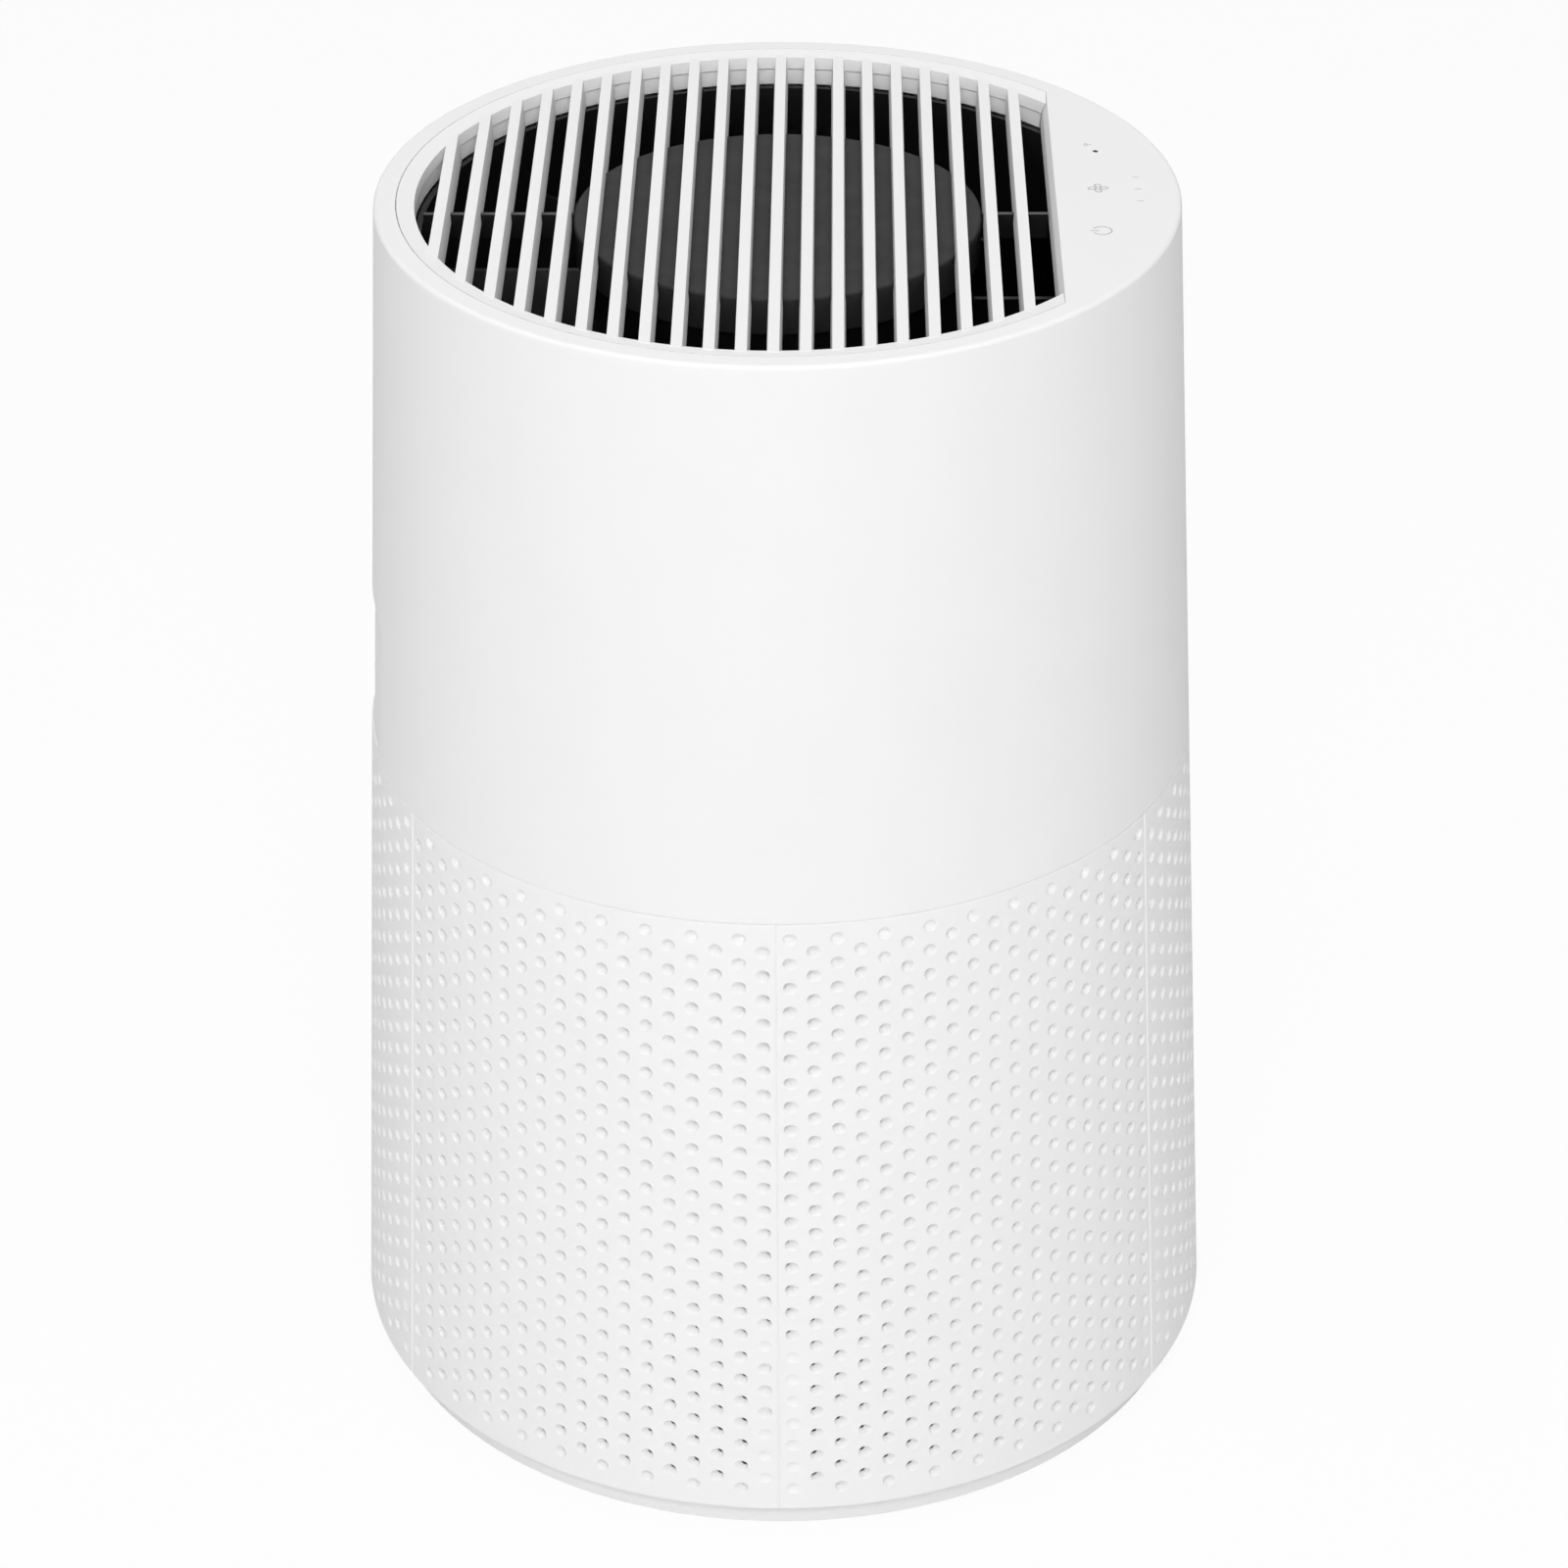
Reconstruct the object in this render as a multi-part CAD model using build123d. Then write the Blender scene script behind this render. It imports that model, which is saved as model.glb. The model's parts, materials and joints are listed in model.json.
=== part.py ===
from build123d import *
import os
from math import cos, degrees, radians, sin, sqrt

# Outer form: a round tower that narrows towards the top
body_height = 440.0
wall_floor_radius = 155.0
wall_top_radius = 133.8
wall = 2.5
rim_fillet = 1.5
rim_width = 7.3
seam_height = 243.2
slip = 0.2
clearance = 0.3

# Base cover, feet and bayonet
foot_height = 2.0
foot_radius = 10.0
foot_inset = 6.7
foot_count = 6
skirt_height = 10.7
base_setback = 5.8
base_floor_gap = 0.4
base_band_height = 3.85
base_band_step = 0.85
base_plate = 2.5
collar_inset = 13.2
collar_wall = 2.5
lug_count = 3
lug_reach = 4.6
lug_height = 3.5
lug_lift = 0.5
lug_angle = 16.0
notch_play_angle = 4.0
bayonet_play = 1.2
grip_pocket_radius = 40.0
grip_pocket_depth = 10.0
grip_bar_width = 16.0

# Filter cartridge
filter_seat_rise = 2.0
filter_seat_wall = 5.0
filter_room = 11.5
filter_core_radius = 70.0
filter_height = 187.5
cap_thickness = 3.0
cap_rim_height = 9.0
cap_rim_wall = 2.5
sleeve_wall = 1.3
carbon_wall = 8.0
pleat_count = 60
pleat_play = 0.5
paper_radial = 3.5
gasket_width = 14.0
gasket_height = 5.0
pull_tab_width = 20.0
pull_tab_thickness = 1.2

# Perforated intake cover: six panels on a frame of rings and posts
panel_count = 6
panel_seam_gap = 0.4
column_count = 19
column_angle = 3.13
row_count = 25
row_pitch = 9.1
top_row_drop = 5.8
dish_diameter = 4.4
hole_diameter = 2.8
lower_ring_height = 11.3
bayonet_flange_height = 5.3
post_angle = 1.9
post_thickness = 4.0
gusset_angle = 6.0
gusset_height = 50.0
gusset_thickness = 3.0
frame_ring_drop = 7.2
frame_ring_height = 10.0
frame_ring_wall = 5.7

# Fan deck, inlet and guard
deck_plate = 3.0
deck_wall = 2.5
deck_flange_height = 3.0
inlet_radius = 66.0
bell_radius = 11.0
bell_height = 20.0
guard_thickness = 2.0
guard_bar = 2.5
guard_ring_count = 4
guard_spoke_count = 4

# Fan duct and diffuser
duct_inset = 20.4
duct_wall = 2.0
duct_drop = 11.5
duct_flare_height = 98.5
duct_throat_step = 1.9
duct_foot_width = 10.0
hub_radius = 66.0
hub_wall = 2.5
vane_count = 10
vane_thickness = 2.0
vane_drop = 33.0
vane_height = 72.0
vane_offset = 11.5
vane_lean = 18.0

# Hub cap and its two arms under the grille
hub_cap_wall = 1.6
hub_cap_drop = 7.5
hub_cap_skirt = 12.5
hub_cap_plate = 3.0
hub_cap_fillet = 0.8
arm_width = 2.0
arm_height = 8.5

# Outlet grille
rim_gap = 0.3
grille_flange_width = 5.9
opening_step = 0.7
opening_step_drop = 5.0
grille_slope = 0.8
grille_flange = 2.8
skirt_depth = 11.0
skirt_wall = 1.8
bar_pitch = 10.09
bar_top_width = 3.65
bar_foot_width = 4.9
bar_drop = 0.4
bar_height = 10.0

# Control panel deck in the top of the upper shell, with places measured from its straight edge
panel_depth = 41.6
panel_slope_width = 1.5
panel_slope_height = 4.0
panel_edge_draft = 0.6
panel_edge_wall = 2.5
panel_thickness = 3.0
grille_ledge_height = 2.5
lip_width = 4.3
lip_height = 3.0
shell_foot_count = 6
shell_foot_angle = 22.0
shell_foot_thickness = 3.5
tray_thickness = 1.3
tray_lap = 0.5
board_thickness = 1.6
touch_board_inset = 3.7
touch_board_margin = 1.4
touch_board_y = (-52.0, 62.0)
touch_board_gap = 2.0
standoff_radius = 2.5
standoff_points = ((6.3, -45.0), (6.3, 52.0), (25.8, -24.0), (25.8, 25.0))
light_pipe_radius = 3.2
icon_points = ((13.9, 40.1), (14.5, 4.5), (13.5, -29.7))
level_mark_points = ((27.3, 12.5), (27.3, 2.7), (27.3, -7.0))
light_sensor_point = (14.9, 34.2)
light_sensor_radius = 0.8
wifi_size = (14.0, 16.0, 3.0)
wifi_point = (16.8, -10.0)

# Power board on the duct wall, with places measured from the middle of its lower edge
board_standoff = 7.0
main_board_width = 90.0
main_board_rise = 6.8
main_board_height = 85.0
duct_post_radius = 4.0
board_hole_inset = 8.0
ribbon_width = 12.0
ribbon_thickness = 0.8
connector_size = (5.0, 16.0, 8.0)
connector_drop = 12.0
transformer_size = (8.5, 24.0, 24.0)
transformer_place = (-18.0, 30.0)
relay_size = (7.5, 14.0, 14.0)
relay_place = (15.0, 29.0)
capacitor_radius = 5.0
capacitor_length = 9.0
capacitor_rise = 56.0
capacitor_places = (-24.0, -10.0, 24.0)

# Rear sensor bay and its cover
sensor_window_width = 81.0
sensor_window_rise = 3.6
sensor_window_height = 52.7
sensor_window_corner = 8.0
sensor_cover_play = 0.5
sensor_cover_sink = 1.0
sensor_cover_wall = 2.2
sensor_slot_count = 5
sensor_slot_length = 34.0
sensor_slot_height = 2.0
sensor_slot_pitch = 5.0
sensor_slot_drop = 9.5
sensor_tongue_width = 1.6
sensor_tongue_height = 12.0
sensor_tongue_length = 9.0
tray_gap = 1.0
tray_depth = 10.5
tray_wall = 2.0
sensor_size = (9.0, 46.0, 34.0)
sensor_nozzle_radius = 4.0
sensor_nozzle_length = 4.0
sensor_nozzle_bore = 2.0

# Cord gland in the rear of the shell
gland_angle = 150.0
gland_rise = 18.8
gland_bore_radius = 3.6
gland_wall = 2.0
gland_flange_width = 2.9
gland_flange = 2.0
gland_inside = 9.0

# Motor and impeller
shaft_radius = 4.0
shaft_fit = 0.02
shaft_stub = 7.0
running_fit = 0.05
motor_radius = 42.0
motor_wall = 2.0
motor_gap = 6.0
motor_height = 40.0
bearing_radius = 11.0
bearing_width = 7.0
air_gap = 1.5
magnet_radius = 26.5
magnet_rise = 10.0
magnet_height = 20.0
bracket_thickness = 3.0
bracket_bore_radius = 14.0
isolator_radius = 5.0
isolator_height = 3.0
isolator_margin = 1.0
isolator_count = 4
impeller_tip_room = 15.0
impeller_eye_play = 2.5
impeller_skin = 2.5
boss_radius = 14.0
boss_rise = 30.2
boss_height = 38.0
cone_foot = 6.0
cone_knee_radius = 28.0
cone_knee_rise = 14.0
cone_rim_drop = 5.0
shroud_height = 26.0
shroud_knee_out = 8.5
shroud_knee_rise = 12.0
blade_count = 9
blade_thickness = 2.0
blade_inner_radius = 44.0
blade_root_height = 12.0
blade_bite = 1.0
blade_sweep = 52.0
blade_mid_sweep = 32.0
nut_radius = 7.0
nut_height = 6.0

# Fasteners
screw_radius = 1.5
screw_head_radius = 2.8
screw_head_height = 1.8
deck_screw_count = 6
deck_screw_length = 9.0
deck_screw_turn = 30.0
board_screw_length = 6.0
motor_screw_length = 6.0
motor_screw_inset = 10.0
motor_screw_count = 4

# Size of cutting blocks that reach past the object, and the tolerance for finding an edge
far = 400.0
edge_tolerance = 0.05


def wall_radius(z):
    """Radius of the outside surface at a height."""
    return wall_floor_radius - (wall_floor_radius - wall_top_radius) * z / body_height


def lining_radius(z):
    """Largest radius of a piece that stands just inside the outer wall."""
    return wall_radius(z) - wall - slip


def polar(radius, angle, z=0.0):
    """Point at a radius and an angle round the tower's axis."""
    return (radius * cos(radians(angle)), radius * sin(radians(angle)), z)


def spin(points, arc=360.0, start=0.0):
    """Solid turned about the tower's axis from (radius, height) points."""
    outline = Polyline([(radius, 0, z) for radius, z in points], close=True)
    return Rot(0, 0, start) * revolve(make_face(outline), Axis.Z, revolution_arc=arc)


def tube(inner, outer, low, high):
    return spin([(inner, low), (outer, low), (outer, high), (inner, high)])


def disc(radius, low, high):
    return Pos(0, 0, (low + high) / 2) * Cylinder(radius, high - low)


def block(x, y, z):
    """Box between pairs of limits along each axis."""
    centre = [(low + high) / 2 for low, high in (x, y, z)]
    return Pos(*centre) * Box(x[1] - x[0], y[1] - y[0], z[1] - z[0])


def round_bar(point, axis_turn, radius, length):
    """Cylinder that starts at a point and runs along +X before its turn about Z."""
    bar = Pos(length / 2, 0, 0) * Rot(0, 90, 0) * Cylinder(radius, length)
    return Pos(*point) * Rot(0, 0, axis_turn) * bar


def prism_y(points, half_length):
    """Solid with an (x, z) outline that runs along Y."""
    outline = make_face(Polyline([(x, -half_length, z) for x, z in points], close=True))
    return extrude(outline, amount=2 * half_length, dir=(0, 1, 0))


def ring_edges(shape, radius, z):
    """Circular edges of a shape at a radius and a height."""
    circles = shape.edges().filter_by(GeomType.CIRCLE)
    level = [edge for edge in circles if abs(edge.arc_center.Z - z) < edge_tolerance]
    return [edge for edge in level if abs(edge.radius - radius) < edge_tolerance]


def screw_down(point, length):
    """Screw whose head stands on a face and whose shank points down."""
    x, y, z = point
    head = Pos(x, y, z + screw_head_height / 2) * Cylinder(screw_head_radius, screw_head_height)
    shank = Pos(x, y, z - length / 2) * Cylinder(screw_radius, length)
    return head + shank


def screw_hole(point, length):
    x, y, z = point
    return Pos(x, y, z - length / 2) * Cylinder(screw_radius + slip, length + 2 * clearance)


parts = {}

# Base cover with its filter seat, bayonet collar and turning grip
base_radius = wall_radius(skirt_height) - base_setback
base_top = skirt_height - slip
plate_top = foot_height + base_plate
collar_inner_radius = base_radius - collar_inset
collar_outer_radius = collar_inner_radius + collar_wall
flange_top = skirt_height + bayonet_flange_height
collar_height = flange_top + lug_lift + lug_height
pocket_top = foot_height + grip_pocket_depth
filter_radius = collar_inner_radius - filter_room
filter_seat_height = pocket_top + wall + filter_seat_rise
filter_top = filter_seat_height + filter_height
base_neck_radius = base_radius - base_band_step
base_pan = spin([
    (0, foot_height),
    (base_radius - wall, foot_height),
    (base_radius - wall, base_floor_gap),
    (base_radius, base_floor_gap),
    (base_radius, base_band_height),
    (base_neck_radius, base_band_height + base_band_step),
    (base_neck_radius, base_top),
    (base_neck_radius - wall, base_top),
    (base_neck_radius - wall, plate_top),
    (collar_outer_radius, plate_top),
    (collar_outer_radius, collar_height),
    (collar_inner_radius, collar_height),
    (collar_inner_radius, plate_top),
    (0, plate_top),
])
filter_seat = tube(
    filter_radius - filter_seat_wall - wall,
    filter_radius - wall,
    foot_height,
    filter_seat_height,
)
pocket_shell = disc(grip_pocket_radius + wall, foot_height, pocket_top + wall)
pocket_hollow = disc(grip_pocket_radius, foot_height - wall, pocket_top)
grip_bar = block(
    (-grip_pocket_radius - wall / 2, grip_pocket_radius + wall / 2),
    (-grip_bar_width / 2, grip_bar_width / 2),
    (foot_height, pocket_top + wall / 2),
)
base_cover = base_pan + filter_seat + pocket_shell - pocket_hollow + grip_bar
for index in range(lug_count):
    lug = spin([
        (collar_inner_radius, collar_height - lug_height),
        (collar_outer_radius + lug_reach, collar_height - lug_height),
        (collar_outer_radius + lug_reach, collar_height),
        (collar_inner_radius, collar_height),
    ], lug_angle, index * 360 / lug_count - lug_angle / 2)
    base_cover += lug
parts["base_cover"] = base_cover

foot_circle_radius = base_radius - foot_radius - foot_inset
feet = Part()
for index in range(foot_count):
    place = polar(foot_circle_radius, (index + 0.5) * 360 / foot_count, foot_height / 2)
    feet += Pos(*place) * Cylinder(foot_radius, foot_height)
parts["rubber_feet"] = feet

# Filter cartridge
media_bottom = filter_seat_height + cap_thickness
media_top = filter_top - cap_thickness
sleeve_outer_radius = filter_radius - cap_rim_wall - slip
sleeve_inner_radius = sleeve_outer_radius - sleeve_wall
core_outer_radius = filter_core_radius + carbon_wall
parts["filter_bottom_cap"] = spin([
    (0, filter_seat_height),
    (filter_radius, filter_seat_height),
    (filter_radius, media_bottom + cap_rim_height),
    (filter_radius - cap_rim_wall, media_bottom + cap_rim_height),
    (filter_radius - cap_rim_wall, media_bottom),
    (0, media_bottom),
])
parts["filter_top_cap"] = spin([
    (filter_core_radius, media_top),
    (filter_radius - cap_rim_wall, media_top),
    (filter_radius - cap_rim_wall, media_top - cap_rim_height),
    (filter_radius, media_top - cap_rim_height),
    (filter_radius, filter_top),
    (filter_core_radius, filter_top),
])
parts["filter_sleeve"] = tube(sleeve_inner_radius, sleeve_outer_radius, media_bottom, media_top)
parts["filter_carbon"] = tube(filter_core_radius, core_outer_radius, media_bottom, media_top)


def pleated(outer, inner):
    """Column with one point out and one point in for each pleat."""
    step = 180 / pleat_count
    points = [polar(inner if k % 2 else outer, k * step, media_bottom) for k in range(2 * pleat_count)]
    outline = make_face(Polyline(points, close=True))
    return extrude(outline, amount=media_top - media_bottom, dir=(0, 0, 1))


pleat_outer_radius = sleeve_inner_radius - pleat_play
pleat_inner_radius = core_outer_radius + pleat_play
outer_fold = pleated(pleat_outer_radius, pleat_inner_radius + paper_radial)
inner_fold = pleated(pleat_outer_radius - paper_radial, pleat_inner_radius)
parts["filter_media"] = outer_fold - inner_fold

gasket_top = filter_top + gasket_height
parts["filter_gasket"] = tube(filter_core_radius, filter_core_radius + gasket_width, filter_top, gasket_top)
parts["filter_pull_tab"] = block(
    (-filter_radius, -filter_core_radius - gasket_width - wall),
    (-pull_tab_width / 2, pull_tab_width / 2),
    (filter_top, filter_top + pull_tab_thickness),
)

# Lower ring with the bayonet flange
lower_ring_top = skirt_height + lower_ring_height
bayonet_flange_radius = collar_outer_radius + bayonet_play
ring_shoulder_radius = collar_outer_radius + lug_reach + bayonet_play
lower_ring = spin([
    (bayonet_flange_radius, skirt_height),
    (lining_radius(skirt_height), skirt_height),
    (lining_radius(lower_ring_top), lower_ring_top),
    (ring_shoulder_radius, lower_ring_top),
    (ring_shoulder_radius, flange_top),
    (bayonet_flange_radius, flange_top),
])
notch_angle = lug_angle + notch_play_angle
for index in range(lug_count):
    lower_ring -= spin([
        (bayonet_flange_radius - wall, skirt_height - wall),
        (ring_shoulder_radius, skirt_height - wall),
        (ring_shoulder_radius, flange_top + wall),
        (bayonet_flange_radius - wall, flange_top + wall),
    ], notch_angle, index * 360 / lug_count - notch_angle / 2)
parts["lower_ring"] = lower_ring

# Frame behind the intake panels
panel_arc = 360 / panel_count
seam_turn = -90.0
frame_ring_top = seam_height - frame_ring_drop
frame_ring_bottom = frame_ring_top - frame_ring_height
frame_ring_inner_radius = lining_radius(frame_ring_top) - frame_ring_wall
intake_frame = spin([
    (frame_ring_inner_radius, frame_ring_bottom),
    (lining_radius(frame_ring_bottom), frame_ring_bottom),
    (lining_radius(frame_ring_top), frame_ring_top),
    (frame_ring_inner_radius, frame_ring_top),
])


def slat(low, high, thickness, angle, turn):
    """Upright strip that lines the sloping wall over a small angle."""
    return spin([
        (lining_radius(low) - thickness, low),
        (lining_radius(low), low),
        (lining_radius(high), high),
        (lining_radius(high) - thickness, high),
    ], angle, turn - angle / 2)


for index in range(panel_count):
    seam = seam_turn + index * panel_arc
    gusset_top = lower_ring_top + gusset_height
    intake_frame += slat(lower_ring_top, frame_ring_bottom + slip, post_thickness, post_angle, seam)
    intake_frame += slat(lower_ring_top, gusset_top, gusset_thickness, gusset_angle, seam)
parts["intake_frame"] = intake_frame

# Perforated intake panels, made of narrow flat strips with one column of holes each
panel_top = seam_height - slip
top_row_height = seam_height - top_row_drop
seam_play_angle = degrees(panel_seam_gap / wall_floor_radius)
first_column = (panel_arc - (column_count - 1) * column_angle) / 2
columns = [first_column - panel_arc / 2 + column_angle * j for j in range(column_count)]
strip_edges = [angle + column_angle / 2 for angle in columns[:-1]]
strip_edges = [(seam_play_angle - panel_arc) / 2] + strip_edges + [(panel_arc - seam_play_angle) / 2]


def facet(points):
    return Face(Wire.make_polygon(points, close=True))


def wall_section(angle):
    """Corners of the panel's wall in the upright plane at an angle."""
    low = wall_radius(skirt_height)
    high = wall_radius(panel_top)
    outside = ((low, skirt_height), (high, panel_top))
    inside = ((high - wall, panel_top), (low - wall, skirt_height))
    return [polar(radius, angle, z) for radius, z in outside + inside]


def blank_panel():
    sections = [wall_section(angle) for angle in strip_edges]
    faces = [facet(sections[0]), facet(sections[-1])]
    for near, beyond in zip(sections, sections[1:]):
        for k in range(4):
            n = (k + 1) % 4
            faces.append(facet([near[k], near[n], beyond[n], beyond[k]]))
    return Solid(Shell(faces))


def panel_holes(phase):
    """Dished holes, all drawn along the panel's middle direction."""
    reach = 2 * wall
    taper = (dish_diameter - hole_diameter) / 2 / wall
    dish = Cone(dish_diameter / 2 - taper * reach, dish_diameter / 2 + taper * reach, 2 * reach)
    holes = []
    for j, angle in enumerate(columns):
        shifted = (j + phase) % 2
        for row in range(row_count - shifted):
            z = top_row_height - row_pitch * (row + shifted / 2)
            holes.append(Pos(*polar(wall_radius(z), angle, z)) * Rot(0, 90, 0) * dish)
    return holes


blank = blank_panel()
perforated = [blank - panel_holes(phase) for phase in range(2)]
for index in range(panel_count):
    turn = seam_turn + (index + 0.5) * panel_arc
    parts[f"intake_panel_{index + 1}"] = Rot(0, 0, turn) * perforated[index % 2]

# Fan deck with a bell-mouth inlet
deck_bottom = gasket_top + clearance
deck_floor = deck_bottom + deck_plate
deck_outer_radius = frame_ring_inner_radius - clearance
deck_flange_top = frame_ring_top + deck_flange_height
deck_flange_radius = lining_radius(deck_flange_top) - slip
bell_middle_radius = inlet_radius + bell_radius
bell_middle = deck_bottom + bell_radius
bell_top = deck_bottom + bell_height


def section_point(radius, z):
    return (radius, 0, z)


def quarter(outer_point, inner_point, centre_radius, centre_z, radius):
    """Quarter turn of the bell-mouth between two points of its outline."""
    reach = radius / sqrt(2)
    middle = section_point(centre_radius - reach, centre_z - reach)
    return ThreePointArc(outer_point, middle, inner_point)


bell_throat = section_point(inlet_radius, bell_middle)
bell_mouth = section_point(bell_middle_radius, deck_bottom)
bell_back = section_point(bell_middle_radius, deck_floor)
bell_collar = section_point(inlet_radius + deck_plate, bell_middle)
deck_outline = [
    quarter(bell_mouth, bell_throat, bell_middle_radius, bell_middle, bell_radius),
    Polyline(
        bell_throat,
        section_point(inlet_radius, bell_top),
        section_point(inlet_radius + deck_plate, bell_top),
        bell_collar,
    ),
    quarter(bell_back, bell_collar, bell_middle_radius, bell_middle, bell_radius - deck_plate),
    Polyline(
        bell_back,
        section_point(deck_outer_radius - deck_wall, deck_floor),
        section_point(deck_outer_radius - deck_wall, deck_flange_top),
        section_point(deck_flange_radius, deck_flange_top),
        section_point(deck_flange_radius, frame_ring_top),
        section_point(deck_outer_radius, frame_ring_top),
        section_point(deck_outer_radius, deck_bottom),
        bell_mouth,
    ),
]
fan_deck = revolve(make_face(deck_outline), Axis.Z)
deck_screw_radius = (frame_ring_inner_radius + deck_flange_radius) / 2
deck_screw_places = [
    polar(deck_screw_radius, deck_screw_turn + index * 360 / deck_screw_count, deck_flange_top)
    for index in range(deck_screw_count)
]
deck_screws = Part()
for place in deck_screw_places:
    fan_deck -= screw_hole(place, deck_screw_length)
    parts["intake_frame"] -= screw_hole(place, deck_screw_length)
    deck_screws += screw_down(place, deck_screw_length)
parts["fan_deck"] = fan_deck
parts["deck_screws"] = deck_screws

guard_bottom = bell_middle
guard_outer_radius = inlet_radius - slip
guard_step = guard_outer_radius / guard_ring_count
inlet_guard = Part()
for index in range(guard_ring_count):
    ring_radius = guard_step * (index + 1)
    inlet_guard += tube(ring_radius - guard_bar, ring_radius, guard_bottom, guard_bottom + guard_thickness)
for index in range(guard_spoke_count):
    spoke = block(
        (guard_step - guard_bar, guard_outer_radius - guard_bar / 2),
        (-guard_bar / 2, guard_bar / 2),
        (guard_bottom, guard_bottom + guard_thickness),
    )
    inlet_guard += Rot(0, 0, (index + 0.5) * 360 / guard_spoke_count) * spoke
parts["inlet_guard"] = inlet_guard

# Fan duct with posts that carry the power board and the sensor tray
rim_inner_radius = wall_top_radius - rim_width
grille_radius = rim_inner_radius - rim_gap
opening_radius = grille_radius - grille_flange_width
duct_radius = deck_outer_radius - deck_wall - duct_inset
duct_top_radius = opening_radius - duct_throat_step
duct_top = body_height - duct_drop
duct_flare_start = duct_top - duct_flare_height


def duct_inner_radius(z):
    """Inside radius of the fan duct, which flares above the fan."""
    share = max(0.0, (z - duct_flare_start) / (duct_top - duct_flare_start))
    return duct_radius + (duct_top_radius - duct_radius) * share


fan_duct = spin([
    (duct_radius, deck_floor),
    (duct_radius + duct_wall + duct_foot_width, deck_floor),
    (duct_radius + duct_wall + duct_foot_width, deck_floor + duct_wall),
    (duct_radius + duct_wall, deck_floor + duct_wall),
    (duct_radius + duct_wall, duct_flare_start),
    (duct_top_radius + duct_wall, duct_top),
    (duct_top_radius, duct_top),
    (duct_radius, duct_flare_start),
])


def duct_post(y, z, reach, side):
    """Round post from the duct's outside wall to a plane at a distance along X."""
    root = sqrt((duct_radius + duct_wall / 2) ** 2 - (abs(y) + duct_post_radius) ** 2)
    return round_bar((side * root, y, z), 0 if side > 0 else 180, duct_post_radius, reach - root)


main_board_x = duct_radius + duct_wall + board_standoff
main_board_bottom = seam_height + main_board_rise
main_board_top = main_board_bottom + main_board_height
board_half_width = main_board_width / 2
board_post_y = board_half_width - board_hole_inset
board_post_z = (main_board_bottom + board_hole_inset, main_board_top - board_hole_inset)
board_post_points = [(y, z) for y in (-board_post_y, board_post_y) for z in board_post_z]
for y, z in board_post_points:
    fan_duct += duct_post(y, z, main_board_x, 1)
sensor_window_bottom = seam_height + sensor_window_rise
sensor_window_top = sensor_window_bottom + sensor_window_height
tray_back_outer = -(duct_radius + duct_wall + tray_gap)
tray_back_x = tray_back_outer - tray_wall
tray_mouth_x = tray_back_x - tray_depth
tongue_outer_y = sensor_window_width / 2 - sensor_cover_play
tray_half = tongue_outer_y + slip + tray_wall
tray_bottom = sensor_window_bottom + slip
tray_top = sensor_window_top + tray_wall
tray_post_y = tray_half / 2
tray_post_z = (tray_bottom + tray_top) / 2
for y in (-tray_post_y, tray_post_y):
    fan_duct += duct_post(y, tray_post_z, -tray_back_outer, -1)
parts["fan_duct"] = fan_duct

# Diffuser: a hub that holds the motor, with leaning vanes to the duct
eye_low = bell_top + wall
boss_bottom = eye_low + boss_rise
boss_top = boss_bottom + boss_height
motor_bottom = boss_top + motor_gap
motor_top = motor_bottom + motor_height
hub_cap_top = body_height - hub_cap_drop
hub_top = hub_cap_top - hub_cap_plate - clearance
hub_bottom = motor_bottom
hub_inner_radius = hub_radius - hub_wall
isolator_circle_radius = hub_inner_radius - isolator_margin - isolator_radius
ledge_inner_radius = isolator_circle_radius - isolator_radius - isolator_margin
ledge_top = motor_top - isolator_height
vane_top = body_height - vane_drop
vane_bottom = vane_top - vane_height
diffuser = tube(hub_inner_radius, hub_radius, hub_bottom, hub_top)
diffuser += tube(ledge_inner_radius, hub_radius - hub_wall / 2, ledge_top - hub_wall, ledge_top)
vane_zone = spin([
    (hub_radius - hub_wall / 2, vane_bottom),
    (duct_inner_radius(vane_bottom) - clearance, vane_bottom),
    (duct_inner_radius(vane_top) - clearance, vane_top),
    (hub_radius - hub_wall / 2, vane_top),
])
vane_sheet = block(
    (hub_radius / 2, duct_top_radius + wall),
    (-vane_thickness / 2, vane_thickness / 2),
    (-far, far),
)
for index in range(vane_count):
    lean = Pos(0, -vane_offset, vane_top) * Rot(vane_lean, 0, 0) * vane_sheet
    diffuser += Rot(0, 0, index * 360 / vane_count) * (vane_zone & lean)
parts["diffuser"] = diffuser

# Hub cap and arms
panel_edge = wall_top_radius - panel_depth
panel_foot_x = panel_edge - panel_slope_width - panel_edge_draft
hub_cap_inner_radius = hub_radius + slip
hub_cap_radius = hub_cap_inner_radius + hub_cap_wall
hub_cap = spin([
    (0, hub_cap_top - hub_cap_plate),
    (hub_cap_inner_radius, hub_cap_top - hub_cap_plate),
    (hub_cap_inner_radius, hub_cap_top - hub_cap_skirt),
    (hub_cap_radius, hub_cap_top - hub_cap_skirt),
    (hub_cap_radius, hub_cap_top),
    (0, hub_cap_top),
])
parts["hub_cap"] = fillet(ring_edges(hub_cap, hub_cap_radius, hub_cap_top), hub_cap_fillet)
arm_z = (hub_cap_top - arm_height, hub_cap_top)
arm_y = (-arm_width / 2, arm_width / 2)
rear_arm_end = duct_inner_radius(arm_z[0]) - clearance
front_arm_end = panel_foot_x - clearance
parts["cap_arms"] = (
    block((-rear_arm_end, -hub_cap_radius - slip), arm_y, arm_z)
    + block((hub_cap_radius + slip, front_arm_end), arm_y, arm_z)
)

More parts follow.
